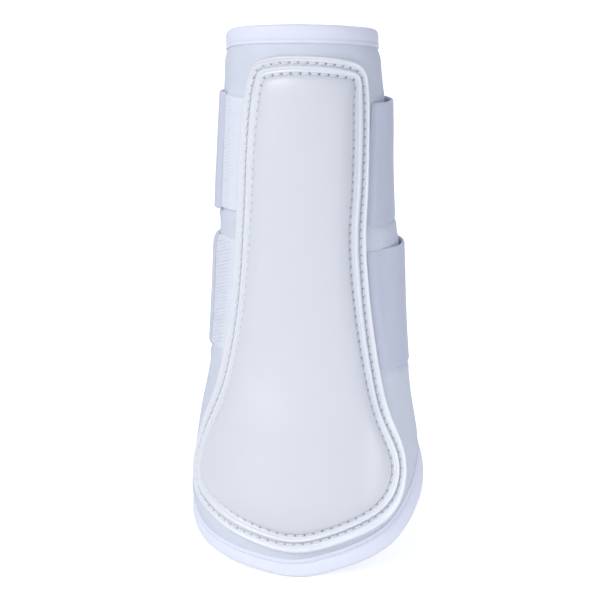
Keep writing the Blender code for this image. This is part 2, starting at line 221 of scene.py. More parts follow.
# A strap's outer face on the boot's left and right side: share of its width, distance from the shell (mm)
STRAP_FACE = {
    ("upper", -1): ((0, 3.0), (0.25, 2.8), (0.55, 2.35), (1, 2.1)),
    ("upper", 1): ((0, 1.1), (0.25, 1.4), (0.5, 2.0), (0.8, 3.2), (1, 3.9)),
    ("lower", -1): ((0, 1.9), (0.45, 2.7), (0.9, 3.1), (1, 3.0)),
    ("lower", 1): ((0, 2.1), (0.5, 3.3), (0.85, 4.1), (1, 4.4)),
}
# Angles between which a strap changes from its left to its right face, and where the curl of its edges ends
SIDE_CHANGE = (120, 240)
CURL_END = (110, 150)
STRAP_CURL = {"upper": 0.0, "lower": 2.1}
CURL_REACH = (3.0, 6.0)
# The free end lies down on the shell: how far out its face is there, and from which angles
LAID_FACE = {"upper": 1.4, "lower": 1.45}
LAID_SPAN = {"upper": (286.0, 306.0), "lower": (286.0, 310.0)}
STRAP_START = {"upper": 71.5, "lower": 84.0}
# How thin a strap's ends are, and how far in that reaches (mm)
THIN_REACH = 4.5
THIN_SHARE = {
    ("upper", "sewn_length"): 0.1,
    ("lower", "sewn_length"): 0.1,
    ("upper", "free_length"): 0.1,
    ("lower", "free_length"): 0.4,
}
FALL_START = 72.0
LEFT_JOIN = 138.0
BACK_JOIN = 222.0
TAB_END = 315.0
# Gap between the free end and the pad, at the strap's lower and upper edge (mm)
TAB_EDGE_GAP = {"upper": 1.0, "lower": 1.1}
TAB_TOP_GAP = {"upper": 3.6, "lower": 1.1}
TAB_CORNER = 1.4
STRAP_CROWN = 0.05
STRAP_EDGE_POWER = 0.6
STRAP_CLEARANCE = 0.15
# Elastics (mm, degrees along, and shares of their width and length)
ELASTIC_WIDTH = 48.5
ELASTIC_END = 100.0
ELASTIC_THICKNESS = 0.8
ELASTIC_START = 60.0
ELASTIC_GAP = 0.1
ELASTIC_ROOM = 1
ELASTIC_LIFT = 0.12
ELASTIC_SEWN_GAP = 0.08
ELASTIC_THIN_EDGE = (-0.006, 0.012)
EDGE_SINK = 0.3
EDGE_SINK_WIDTH = 0.03
EDGE_SINK_END = (-6, -2)
RIB_PITCH = 1.54
RIB_HEIGHT = {"upper": 0.15, "lower": 0.5}
# RIB_SHADE: painted shade in the grooves between the elastic's ribs
RIB_SHADE = {"upper": 0.2, "lower": 0.4}
RIB_SLANT = 0.22
RIB_START = (0.02, 0.25)
RIB_MARGIN = 0.05
RIB_END = 1.5
CREASE_ANGLE = 60.5
CREASE_HEIGHT = {"upper": 0.3, "lower": 0.0}
CREASE_REACH = 0.8
# Hook tape (mm, degrees along)
HOOK_START = 267.5
HOOK_MARGIN = 2.0
HOOK_THICKNESS = 0.3
HOOK_PITCH = 1.5
HOOK_LENGTH = 0.65
HOOK_RADIUS = 0.13
HOOK_SEAT = 0.12
HOOK_ROOT = 0.05
HOOK_PRESSED = 0.5
HOOKS_END = (284, 300)
HOOK_BOW = ((0, 0), (0.05, 0.45), (0.2, 0.8), (0.5, 1.0), (0.75, 0.8))
# Room round the hooks (shares of the width, degrees, mm), and a step to their side (share of the width)
HOOK_ROW_ROOM = (0.02, 0.01)
HOOK_START_ROOM = 1.5
HOOK_END_ROOM = 1.0
HOOK_SIDE_STEP = 0.02
TAB_TURN_RADIUS = 38.0

# Edges of the meshes are sharp from this angle on (degrees). Counts of points along and round the meshes
SHARP_ANGLE = 50
WALL_COLUMNS = 101
WALL_ROWS = (121, 31)
AREA_SAMPLES = 200
TAPE_STATIONS = 121
CLOSING_STATIONS = 80
STRAP_STATIONS = 81
STRAP_EDGE_POINTS = 9
STRAP_FACE_POINTS = 25
ELASTIC_ROWS = (217, 31)
HOOK_STATIONS = 25

# Half the length of each bend (m), passed to bend, which does not bend the pieces
BEND_REACH = 0.009
TAB_BEND_REACH = 0.007


def smooth_curve(knots):
    """A curve through (x, y) knots that never overshoots between them."""
    xs, ys = np.array(knots, float).T
    steps = np.diff(xs)
    rates = np.diff(ys) / steps
    same = rates[:-1] * rates[1:] > 0
    total = np.where(same, rates[:-1] + rates[1:], 1.0)
    inner = np.where(same, 2 * rates[:-1] * rates[1:] / total, 0.0)
    slopes = np.concatenate([rates[:1], inner, rates[-1:]])

    def value(x):
        x = np.asarray(x, float)
        i = np.clip(np.searchsorted(xs, x) - 1, 0, len(steps) - 1)
        t = (x - xs[i]) / steps[i]
        s = np.clip(t, 0, 1)
        rise = (3 - 2 * s) * s * s * (ys[i + 1] - ys[i])
        bend = s * (1 - s) * ((1 - s) * slopes[i] - s * slopes[i + 1]) * steps[i]
        below = np.minimum(x - xs[0], 0) * slopes[0]
        above = np.maximum(x - xs[-1], 0) * slopes[-1]
        return ys[i] + rise + bend + below + above

    return value


half_width = smooth_curve([(z, a) for z, a, _ in GIRTH])
shift = smooth_curve([(z, x) for z, _, x in GIRTH])
hem_height = smooth_curve(HEM)
top_curve = smooth_curve(TOP)
hem_flare = smooth_curve(HEM_FLARE)
hem_tape_scale = smooth_curve(HEM_TAPE_SCALE)
strap_extra = {key: smooth_curve(knots) for key, knots in STRAP_EXTRA.items()}
strap_rise = {key: smooth_curve(knots) for key, knots in STRAP_RISE.items()}
strap_side = {key: smooth_curve(knots) for key, knots in STRAP_FACE.items()}


def wrapped(angle):
    """The angle between -180 and 180."""
    return 180 - np.mod(180 - np.asarray(angle), 360)


def top_height(angle):
    return top_curve(wrapped(angle))


def hem_slope(angle):
    """Rise of the hem for each mm along it, and 0 beside the slit, where its tape is cut straight down."""
    rise = hem_height(angle + SLOPE_STEP) - hem_height(angle - SLOPE_STEP)
    slope = rise / (math.radians(2 * SLOPE_STEP) * girth_radius(hem_height(angle)))
    return slope * (1 - ease(*HEM_LEVEL, np.abs(angle)))


def from_hem(angle, z):
    """Distance of a point above the hem, square to it."""
    return (z - hem_height(angle)) / np.sqrt(1 + hem_slope(angle) ** 2) / hem_tape_scale(angle)


def from_closing(angle, z):
    """Distance of a point from the tape's crown on its flap's closing edge."""
    return np.radians(TAPED_ANGLE - np.abs(angle)) * half_width(z)


def edge_distances(angle, z):
    """Distance of a point from the crowns of the tapes round its half of the shell."""
    return top_height(angle) - z, from_hem(angle, z), from_closing(angle, z)


def girth_radius(z):
    return half_width(z) * (1 + DEPTH_RATIO) / 2


def ease(start, end, x):
    t = np.clip((x - start) / (end - start), 0, 1)
    return t * t * (3 - 2 * t)


def plateau(start, full, end, gone, x):
    """Rises from 0 to 1 between start and full, and falls back between end and gone."""
    return ease(start, full, x) * (1 - ease(end, gone, x))


def hump(x, reach):
    return np.exp(-((x / reach) ** 2))


def joined(*values):
    """Points from their coordinates."""
    return np.stack(np.broadcast_arrays(*values), -1)


def oval(angle, z, half_x, half_y, centre):
    turn = np.radians(angle)
    return joined(centre + half_x * np.sin(turn), -half_y * np.cos(turn), z) * MM


def flare(angle, z):
    """How far the form leans out towards its hem (mm)."""
    turn = wrapped(angle)
    up = np.clip((z - hem_height(turn)) / FLARE_REACH, 0, 1)
    return hem_flare(turn) * (1 - up) ** 2


def form(angle, z, offset):
    """Points offset (mm) out from the shell's plain outer face."""
    a = half_width(z)
    offset = offset + flare(angle, z)
    return oval(angle, z, a + offset, a * DEPTH_RATIO + offset, shift(z))


def strap_low_edge(strap, along):
    fall = STRAP_FALL * (along - FALL_START) / (TAB_END - FALL_START)
    rise = strap_rise[strap](along) - strap_extra[strap](along)
    return STRAP_MIDDLE[strap] + rise - fall - STRAP_WIDTH / 2


def strap_width(strap, along):
    return STRAP_WIDTH + strap_extra[strap](along)


def curl(strap, t):
    """How far a strap's edges curl in towards the shell on the boot's left side (mm)."""
    low, high = (np.clip(1 - edge * STRAP_WIDTH / reach, 0, 1) for edge, reach in zip((t, 1 - t), CURL_REACH))
    return STRAP_CURL[strap] * (1 - np.sqrt(1 - np.maximum(low, high) ** 2))


def strap_face(strap, along, t):
    """How far a strap's outer face stands out from the shell (mm)."""
    wide = np.clip(t, 0, 1)
    right = ease(*SIDE_CHANGE, along)
    free = strap_side[strap, -1](wide) * (1 - right) + strap_side[strap, 1](wide) * right
    laid = ease(*LAID_SPAN[strap], along)
    curled = curl(strap, t) * (1 - ease(*CURL_END, along))
    return free * (1 - laid) + LAID_FACE[strap] * laid - curled


def strap_room(strap, along, t):
    """How far out from its plain face the shell may reach under a strap (mm)."""
    hooks = (HOOK_THICKNESS + HOOK_PRESSED * HOOK_LENGTH) * (1 - ease(*HOOKS_END, along))
    under = np.where(along < ELASTIC_END + ELASTIC_ROOM, ELASTIC_THICKNESS, hooks)
    return strap_face(strap, along, t) - STRAP_THICKNESS - under - STRAP_CLEARANCE


def swell(amount, place, reach, x):
    return amount * hump(x - place, reach)


def skin(angle, z):
    """How far the shell's face stands out (mm): pinched by tapes, pressed by straps, swollen beside them."""
    face = swell(*PAD_SWELL, angle) + 0.0 * z
    for back in edge_distances(angle, z):
        past = back - TAPE_HEIGHT
        face = face - TAPE_PINCH * (1 - ease(*PINCH_END, past)) + swell(*TAPE_SWELL, past)
    along = np.mod(-angle, 360)
    strapped = ease(*STRAPPED, np.abs(angle))
    for strap in STRAP_MIDDLE:
        low = strap_low_edge(strap, along)
        width = strap_width(strap, along)
        high = low + width
        face = face + strapped * (swell(*LOW_SWELL, z - low) + swell(*HIGH_SWELL, z - high))
        if strap == "lower":
            bulge = RIGHT_BULGE * plateau(*BULGE_SPAN, z - high) + swell(*RIGHT_SWELL, z - low)
            face = face + plateau(*RIGHT_SIDE, angle) * bulge
        room = strap_room(strap, along, (z - low) / width)
        pressed = strapped * ease(*PRESS_EDGE, z - low) * ease(*PRESS_EDGE, high - z)
        pressed = pressed * ease(PRESS_START, STRAP_START[strap], along)
        face = face - pressed * np.maximum(face - room, 0)
    return face


# Meshes


def add_object(name, data):
    item = bpy.data.objects.new(name, data)
    scene.collection.objects.link(item)
    return item


def new_piece(name, points, faces, weave, material, marks=None):
    """A mesh piece. weave is each point's place on the flat cloth (mm), and marks are values for shading."""
    mesh = bpy.data.meshes.new(name)
    mesh.from_pydata(np.asarray(points).reshape(-1, 3).tolist(), [], faces)
    flat = np.zeros((len(mesh.vertices), 3), np.float32)
    flat[:, :2] = np.asarray(weave, np.float32).reshape(-1, 2)
    mesh.attributes.new("weave", "FLOAT_VECTOR", "POINT").data.foreach_set("vector", flat.ravel())
    for key, values in (marks or {}).items():
        mesh.attributes.new(key, "FLOAT", "POINT").data.foreach_set("value", np.asarray(values, np.float32))
    bm = bmesh.new()
    bm.from_mesh(mesh)
    bmesh.ops.recalc_face_normals(bm, faces=bm.faces)
    bm.to_mesh(mesh)
    bm.free()
    mesh.shade_smooth()
    mesh.set_sharp_from_angle(angle=math.radians(SHARP_ANGLE))
    mesh.materials.append(material)
    return add_object(name, mesh)


def ring_faces(first, rings, count):
    """Faces between rings that follow one another, each of a count of points."""
    faces = []
    for a in range(first, first + (rings - 1) * count, count):
        for i in range(count):
            j = (i + 1) % count
            faces.append((a + i, a + j, a + count + j, a + count + i))
    return faces


def sweep_faces(stations, around, first=0):
    """Faces of a closed body swept through sections of the same count of points."""
    last = first + (stations - 1) * around
    ends = [tuple(range(first + around - 1, first - 1, -1)), tuple(range(last, last + around))]
    return ring_faces(first, stations, around) + ends


def sweep(name, points, weave, material, marks=None):
    stations, around = points.shape[:2]
    return new_piece(name, points, sweep_faces(stations, around), weave, material, marks)


def out_and_back(outer, inner):
    """Shares of a closed section's width: up its outer face and down its inner one, and which are outer."""
    share = np.concatenate([np.linspace(0, 1, outer), np.linspace(1, 0, inner)])
    return share, np.arange(outer + inner) < outer


def unit(vectors):
    return vectors / np.linalg.norm(vectors, axis=1, keepdims=True)


def run_length(points):
    """Length along a row of points, at each of them."""
    steps = np.linalg.norm(np.diff(points, axis=0), axis=1)
    return np.concatenate([[0.0], np.cumsum(steps)])


def along_line(points, lengths, goals):
    """Points at some lengths along a line on the flat pattern."""
    return np.stack([np.interp(goals, lengths, points[:, i]) for i in (0, 1)], -1)


def threads(name, runs, radius, material, sides=7):
    """Stitches: each run is a row of points and the way up at each, and becomes a round thread."""
    points, weave, faces = [], [], []
    turn = np.arange(sides) * 2 * math.pi / sides
    for run, up in runs:
        along = unit(np.gradient(run, axis=0))
        across = unit(np.cross(along, up))
        rise = np.cross(across, along)
        ends = np.sin(np.linspace(THREAD_END, math.pi - THREAD_END, len(run))) ** THREAD_TAPER
        ring = np.cos(turn)[None, :, None] * across[:, None] + np.sin(turn)[None, :, None] * rise[:, None]
        faces += sweep_faces(len(run), sides, len(points) * len(run) * sides)
        points.append(run[:, None] + ring * (radius * MM * ends)[:, None, None])
        length = np.linalg.norm(run - run[0], axis=1) / MM
        weave.append(joined(length[:, None], turn[None] * radius))
    return new_piece(name, np.concatenate(points), faces, np.concatenate(weave), material)


def stitch_row(name, count, steps, heights, place, radius, material):
    """Stitches with heights (mm) at steps along each. place(step, height) gives points of their row."""
    runs = []
    for k in range(count):
        run = place(k + steps, heights)
        runs.append((run, place(k + steps, heights + 1.0) - run))
    return threads(name, runs, radius, material)


# Materials


def add_node(tree, kind, links=(), values=(), **settings):
    """A node with its settings, the values of its sockets and the sources that are linked to them."""
    node = tree.nodes.new(kind)
    for key, value in settings.items():
        setattr(node, key, value)
    for key, value in values:
        node.inputs[key].default_value = value
    for key, source in links:
        tree.links.new(source, node.inputs[key])
    return node


class Nodes:
    """A short way to write a material's nodes."""

    def __init__(self, name, colour, roughness, sheen=0.0, specular=0.5):
        self.material = bpy.data.materials.new(name)
        self.material.use_nodes = True
        self.tree = self.material.node_tree
        self.shader = self.tree.nodes["Principled BSDF"]
        self.shader.inputs["Base Color"].default_value = (*colour, 1)
        self.shader.inputs["Roughness"].default_value = roughness
        self.shader.inputs["Sheen Weight"].default_value = sheen
        self.shader.inputs["Sheen Roughness"].default_value = 0.5
        self.shader.inputs["Specular IOR Level"].default_value = specular
        self.colour = colour

    def add(self, kind, links=(), values=(), **settings):
        return add_node(self.tree, kind, links, values, **settings)

    def link(self, source, socket):
        self.tree.links.new(source, self.shader.inputs[socket])

    def mark(self, name):
        """A value for shading that the mesh carries."""
        return self.add("ShaderNodeAttribute", attribute_name=name).outputs["Fac"]

    def weave(self, scale=(1, 1), turn=0.0):
        cloth = self.add("ShaderNodeAttribute", attribute_name="weave")
        return self.add(
            "ShaderNodeMapping",
            [("Vector", cloth.outputs["Vector"])],
            [("Scale", (*scale, 1)), ("Rotation", (0, 0, turn))],
        ).outputs["Vector"]

    def math(self, operation, a, b):
        node = self.add("ShaderNodeMath", operation=operation)
        for socket, value in zip(node.inputs, (a, b)):
            if isinstance(value, (int, float)):
                socket.default_value = value
            else:
                self.tree.links.new(value, socket)
        return node.outputs[0]

    def plus(self, a, b, share):
        """a with a share of b."""
        return self.math("ADD", a, self.math("MULTIPLY", b, share))

    def noise(self, size, detail=2.0, vector=None):
        """Noise with features of about a size in mm."""
        links = [("Vector", vector or self.weave())]
        values = [("Scale", 1 / size), ("Detail", detail)]
        return self.add("ShaderNodeTexNoise", links, values).outputs["Fac"]

    def bands(self, pitch, turn=0.0, distortion=0.0):
        """Even ridges, with a pitch in mm."""
        links = [("Vector", self.weave(turn=turn))]
        values = [("Scale", math.pi / (10 * pitch)), ("Distortion", distortion)]
        settings = {"wave_type": "BANDS", "bands_direction": "X", "wave_profile": "SIN"}
        return self.add("ShaderNodeTexWave", links, values, **settings).outputs["Fac"]

    def cells(self, size):
        links = [("Vector", self.weave())]
        return self.add("ShaderNodeTexVoronoi", links, [("Scale", 1 / size)]).outputs["Distance"]

    def spread(self, fac, low, high):
        """Maps a 0 to 1 value to low to high."""
        values = [("To Min", low), ("To Max", high)]
        return self.add("ShaderNodeMapRange", [("Value", fac)], values).outputs["Result"]

    def tint(self, fac, dark):
        """Colour between a dark share of the base colour and the base colour."""
        ramp = self.add("ShaderNodeValToRGB", [("Fac", fac)])
        for element, share in zip(ramp.color_ramp.elements, (dark, (1, 1, 1))):
            element.color = (*(c * s for c, s in zip(self.colour, share)), 1)
        self.link(ramp.outputs["Color"], "Base Color")
        return ramp.outputs["Color"]

    def blend(self, fac, under, colour):
        """A colour laid over another where fac is 1."""
        mix = self.add("ShaderNodeMix", [("Factor", fac)], data_type="RGBA")
        self.tree.links.new(under, mix.inputs[6])
        mix.inputs[7].default_value = (*colour, 1)
        return mix.outputs[2]

    def bump(self, height, depth):
        """Relief of a depth in mm."""
        values = [("Distance", depth * MM), ("Strength", 1.0)]
        self.link(self.add("ShaderNodeBump", [("Height", height)], values).outputs["Normal"], "Normal")


def knitted(name, colour, stitch, depth):
    """Jersey knit: columns of small loops."""
    nodes = Nodes(name, colour, 0.85, sheen=0.12, specular=0.25)
    columns = nodes.bands(stitch, distortion=0.4)
    courses = nodes.bands(stitch * 0.8, turn=math.pi / 2, distortion=0.4)
    loops = nodes.math("MULTIPLY", columns, courses)
    fuzz = nodes.noise(0.35, detail=3.0)
    nodes.bump(nodes.plus(loops, fuzz, 0.6), depth)
    nodes.tint(nodes.plus(nodes.noise(9.0, detail=3.0), loops, 0.3), (0.93, 0.935, 0.95))
    return nodes.material


def leather(name, colour):
    """Coated synthetic leather with a fine pebble grain, glossier and with a painted highlight on its ridges,
    and painted shade along its seams and in the needle holes.
    """
    nodes = Nodes(name, colour, 0.4, specular=0.85)
    pores = nodes.noise(0.9, detail=4.0)
    nodes.bump(nodes.plus(pores, nodes.cells(0.55), 0.5), 0.035)
    cloudy = nodes.tint(nodes.noise(14.0, detail=3.0), (0.97, 0.972, 0.98))
    crest = nodes.mark("ridge")
    worn = nodes.spread(nodes.noise(3.5, detail=4.0), 0.36, 0.45)
    nodes.link(nodes.plus(worn, crest, -0.2), "Roughness")
    # Painted highlight: the ridges' colour is paler
    paler = nodes.blend(crest, cloudy, tuple(min(1.0, c * 1.2) for c in colour))
    # Painted shade along the seams' grooves
    shaded = nodes.blend(nodes.mark("groove"), paler, tuple(c * 0.88 for c in colour))
    # Painted shade in the needle holes
    nodes.link(nodes.blend(nodes.mark("pit"), shaded, (0.2, 0.21, 0.23)), "Base Color")
    return nodes.material


def woven(name, colour, pitch, depth):
    """Plain woven tape: fine ribs across, crossed by the warp, with painted shade in its grooves."""
    nodes = Nodes(name, colour, 0.7, sheen=0.15, specular=0.3)
    weft = nodes.bands(pitch, distortion=0.2)
    warp = nodes.bands(pitch * 1.3, turn=math.pi / 2, distortion=0.2)
    cloth = nodes.plus(weft, warp, 0.6)
    nodes.bump(cloth, depth)
    thread = nodes.tint(nodes.plus(nodes.noise(5.0, detail=3.0), cloth, 0.2), (0.955, 0.955, 0.965))
    # Painted shade in the grooves of seams and ribs
    nodes.link(nodes.blend(nodes.mark("groove"), thread, tuple(0.74 * c for c in colour)), "Base Color")
    return nodes.material


def brushed(name, colour):
    """Brushed loop face: short tangled fibres."""
    nodes = Nodes(name, colour, 0.8, sheen=0.25, specular=0.25)
    fibres = nodes.noise(0.3, detail=4.0, vector=nodes.weave((0.55, 1)))
    nap = nodes.noise(2.6, detail=3.0)
    nodes.bump(nodes.plus(fibres, nap, 0.8), 0.16)
    nodes.tint(nodes.plus(nodes.math("MULTIPLY", fibres, 0.5), nap, 0.5), (0.9, 0.905, 0.93))
    return nodes.material


def foam(name, colour):
    """Closed-cell foam."""
    nodes = Nodes(name, colour, 0.9, specular=0.3)
    cells = nodes.cells(0.8)
    nodes.bump(cells, 0.12)
    nodes.tint(cells, (0.9, 0.9, 0.9))
    return nodes.material


def twisted(name, colour):
    """Sewing thread: plies that wind round it."""
    nodes = Nodes(name, colour, 0.55, sheen=0.2)
    plies = nodes.bands(0.45, math.radians(35))
    nodes.bump(plies, 0.08)
    nodes.tint(plies, (0.86, 0.86, 0.88))
    return nodes.material


def moulded(name, colour):
    """Nylon hook tape."""
    nodes = Nodes(name, colour, 0.45, specular=0.4)
    nodes.bump(nodes.noise(0.5, 2.0), 0.05)
    nodes.tint(nodes.noise(3.0, 2.0), (0.93, 0.93, 0.94))
    return nodes.material


NEOPRENE = knitted("neoprene_jersey", (0.75, 0.78, 0.85), 0.75, 0.12)
LINING = knitted("lining_knit", (0.76, 0.77, 0.81), 1.3, 0.3)
TAPE = woven("binding_tape", (0.86, 0.87, 0.965), 0.42, 0.05)
ELASTIC = woven("woven_elastic", (0.83, 0.845, 0.91), 0.6, 0.06)
PAD = leather("pad_leather", (0.70, 0.707, 0.738))
FOAM = foam("pad_foam", (0.70, 0.71, 0.74))
STRAP = brushed("strap_loop_face", (0.67, 0.69, 0.79))
THREAD = twisted("sewing_thread", (0.88, 0.90, 0.95))
TAPE_SEWING = twisted("tape_sewing_thread", (0.86, 0.88, 0.98))
HOOK = moulded("hook_tape", (0.86, 0.86, 0.89))


# How the pieces ride

SIDES = {"left": -1, "right": 1}
FLAP_JOINT = {"left": "boot_opening", "right": "right_flap_opening"}


def bend(piece, name, direction, reach):
    """Bakes a piece's transform into its mesh; the piece is not bent, and the joint's name is not used."""
    step = Vector(direction) * reach
    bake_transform(piece)


def bend_half(piece, side_name):
    """Bakes the transform of a piece of one half of the boot; it is not bent where its flap folds."""
    bend(piece, FLAP_JOINT[side_name], (0, 1, 0), BEND_REACH)


# Shell, lining and their edge tapes


def wall_grid(side, columns, share):
    """Angles and heights over one half of the wall, from the middle of the front to the closing edge."""
    angles = side * np.linspace(0, CLOSING_ANGLE, columns)[:, None]
    low = hem_height(angles) + EDGE_ROOM
    high = top_height(angles) - EDGE_ROOM
    return angles, low + (high - low) * share[None]


def wall_half(name, side_name, faces, material):
    """One half of a layer of the wall."""
    outer, inner = faces
    share, outward = out_and_back(*WALL_ROWS)
    angles, z = wall_grid(SIDES[side_name], WALL_COLUMNS, share)
    points = form(angles, z, np.where(outward, outer(angles, z), inner(angles, z)))
    weave = joined(np.radians(angles) * girth_radius(CLOTH_HEIGHT), z)
    piece = sweep(f"{name}_{side_name}", points, weave, material)
    bend_half(piece, side_name)
    return piece


def inner_face(depth):
    """A face at a depth in the wall (mm), which gives way to the tape along its edges."""

    def offset(angle, z):
        past = np.minimum.reduce(edge_distances(angle, z)) - TAPE_HEIGHT
        return INNER_PINCH * (1 - ease(*INNER_PINCH_END, past)) - depth

    return offset


def lining_area(side):
    """Area of the cloth that one half of the lining is cut to (square metres)."""
    angles, z = wall_grid(side, AREA_SAMPLES, np.linspace(0, 1, AREA_SAMPLES))
    grid = form(angles, z, -LINING_DEPTH)
    wide, tall = np.diff(grid, axis=0)[:, :-1], np.diff(grid, axis=1)[:-1]
    return float(np.linalg.norm(np.cross(wide, tall), axis=-1).sum())


shell_faces = (skin, inner_face(SHELL_THICKNESS))
lining_faces = (inner_face(LINING_DEPTH), inner_face(LINING_DEPTH + LINING_THICKNESS))
for side_name, side in SIDES.items():
    shell = wall_half("shell", side_name, shell_faces, NEOPRENE)
    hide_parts("front_panel", f"{side_name}_panel")
    lining = wall_half("lining", side_name, lining_faces, LINING)
    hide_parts("front_lining", f"{side_name}_lining")
    lining_area(side)

# Section of a folded tape (mm): distance back from its crown, distance out from the shell's plain face
TAPE_SECTION = (
    (7.8, -0.85), (7.78, -0.45), (7.6, -0.18), (7.25, -0.06), (6.85, -0.08), (6.5, -0.22), (6.25, -0.45),
    (6.0, -0.55), (5.75, -0.45), (5.4, -0.18), (4.8, 0.06), (4.0, 0.22), (3.0, 0.34), (2.0, 0.38),
    (1.2, 0.32), (0.6, 0.14), (0.2, -0.25), (0.03, -0.8), (0.0, -1.6), (0.0, -2.6), (0.0, -3.6),
    (0.2, -4.4), (0.6, -5.0), (1.2, -5.5), (2.0, -5.8), (3.2, -6.0), (4.6, -5.9), (5.6, -5.75),
    (6.2, -5.8), (6.5, -5.6), (6.4, -5.3), (5.6, -5.3), (3.0, -5.3), (1.9, -5.2), (1.2, -4.5),
    (1.0, -3.4), (1.0, -2.6), (1.2, -1.9), (1.9, -1.3), (3.0, -1.02), (5.6, -0.95), (7.7, -0.92),
)
# Points of the section further out than this are on its outer face
OUTER_FACE = -0.65
TAPE_MIDDLE = 3.0
TAPE_NODE = {"top": "top_binding", "hem": "bottom_binding"}
# The last points of the section line the fold. The tape's end fills it, between two angles past the shell
FOLD_POINTS = 12
FOLD_SHUT = (176.4, 178.6)
# Gap at the closing tapes' ends, and the tapes' seams: distance back, distance out, fill and painted shade
# (mm)
CLOSING_GAP = 0.2
TAPE_SEAM = 6.05
TAPE_SEAM_FACE = {"top": -0.28, "hem": -0.78, "closing": -0.5}
TOP_SEAM_FILL = 0.3
SEAM_FILL_REACH = 0.6
SEAM_SHADE = {"top": 0.35, "hem": 0.55, "closing": 0.4}
SEAM_SHADE_REACH = 0.35


def seam_hump(section, reach):
    """1 on the outer face of a tape along its seam, 0 away from it."""
    return hump(section[:, 0] - TAPE_SEAM, reach) * (section[:, 1] > OUTER_FACE)


def new_tape(edge, side_name, points, lengths, section):
    """A tape, with painted shade along its seam. lengths are the distances along it."""
    weave = joined(lengths, run_length(section)[None])
    shade = np.tile(SEAM_SHADE[edge] * seam_hump(section, SEAM_SHADE_REACH), len(points))
    return sweep(f"{edge}_tape_{side_name}", points, weave, TAPE, {"groove": shade})


def tape_seam(edge, side_name, length, place):
    """The stitches along a tape. place(share, out) gives points a share of the way along its seam."""
    count = int(length / TAPE_STITCH)
    rise = TAPE_THREAD * np.sin(np.linspace(0, math.pi, len(TAPE_STEPS)))
    heights = TAPE_SEAM_FACE[edge] + rise - TAPE_STITCH_SINK

    def sewn(step, out):
        return place(step / count, out)

    name = f"{edge}_tape_seam_{side_name}"
    return stitch_row(name, count, TAPE_STEPS, heights, sewn, TAPE_THREAD, TAPE_SEWING)


def tape_half(edge, side_name):
    """Half of the tape round the top edge or the hem, and its seam."""
    section = np.array(TAPE_SECTION)
    if edge == "top":
        section[:, 1] += TOP_SEAM_FILL * seam_hump(section, SEAM_FILL_REACH)
    angles = SIDES[side_name] * np.linspace(0, TAPED_ANGLE, TAPE_STATIONS)[:, None]
    filled = section.copy()
    filled[-FOLD_POINTS:] = np.linspace(section[-FOLD_POINTS], section[-1], FOLD_POINTS)
    shut = ease(*FOLD_SHUT, np.abs(angles))
    back, out = (section[:, i] + (filled - section)[:, i] * shut for i in (0, 1))

    def place(angle, distance, out):
        """Points a distance back from the edge, square to it, and a distance out."""
        if edge == "top":
            return form(angle, top_height(angle) - distance, out)
        slope = hem_slope(angle)
        square = distance * hem_tape_scale(angle) / np.sqrt(1 + slope**2)
        z = hem_height(angle) + square
        return form(angle - np.degrees(square * slope / girth_radius(z)), z, out)

    points = place(angles, back, out)
    arc = run_length(place(angles[:, 0], TAPE_MIDDLE, 0.0)) / MM
    tape = new_tape(edge, side_name, points, arc[:, None], section)
    node = TAPE_NODE[edge]
    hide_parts(f"front_{node}", f"{side_name}_{node}")
    bend_half(tape, side_name)

    def along_seam(share, out):
        return place(np.interp(share * arc[-1], arc, angles[:, 0]), TAPE_SEAM, out)

    seam = tape_seam(edge, side_name, arc[-1], along_seam)
    bend_half(seam, side_name)


def closing_tape(side_name):
    """The tape down a flap's closing edge, and its seam."""
    section = np.array(TAPE_SECTION)

    def angle_at(distance, height):
        return SIDES[side_name] * (TAPED_ANGLE - np.degrees(distance / half_width(height)))

    def height_at(distance, share):
        """Height a share of the way from the hem's tape to the top edge's."""
        foot = angle_at(distance, HEM[0][1])
        low = hem_height(foot) + TAPE_HEIGHT * hem_tape_scale(foot) + CLOSING_GAP
        head = angle_at(distance, TOP[0][1])
        high = top_height(head) - TAPE_HEIGHT - CLOSING_GAP
        return low + (high - low) * share

    def place(distance, share, out):
        z = height_at(distance, share)
        return form(angle_at(distance, z), z, out)

    def along_seam(share, out):
        return place(TAPE_SEAM, share, out)

    back, out = section.T
    share = np.linspace(0, 1, CLOSING_STATIONS)[:, None]
    tape = new_tape("closing", side_name, place(back, share, out), height_at(back, share), section)
    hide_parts(f"{side_name}_edge_binding")
    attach(tape, f"{side_name}_flap")
    length = np.ptp(height_at(TAPE_SEAM, np.array([0.0, 1.0])))
    seam = tape_seam("closing", side_name, length, along_seam)
    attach(seam, f"{side_name}_flap")


for side_name in SIDES:
    tape_half("top", side_name)
    tape_half("hem", side_name)
    closing_tape(side_name)


# Strike pad, drawn on the shell's flat pattern


def span(a, b, c, d, t):
    """The curve from b to c, with a before it and d after it."""
    return b + ((c - a) * t + (2 * a - 5 * b + 4 * c - d) * t**2 + (3 * b - a - 3 * c + d) * t**3) / 2


def refine(loop, scale):
    """The loop with more points between its own."""
    t = np.arange(scale)[None, :, None] / scale
    near = [np.roll(loop, -j, 0)[:, None] for j in (-1, 0, 1, 2)]
    return span(*near, t).reshape(-1, 2)


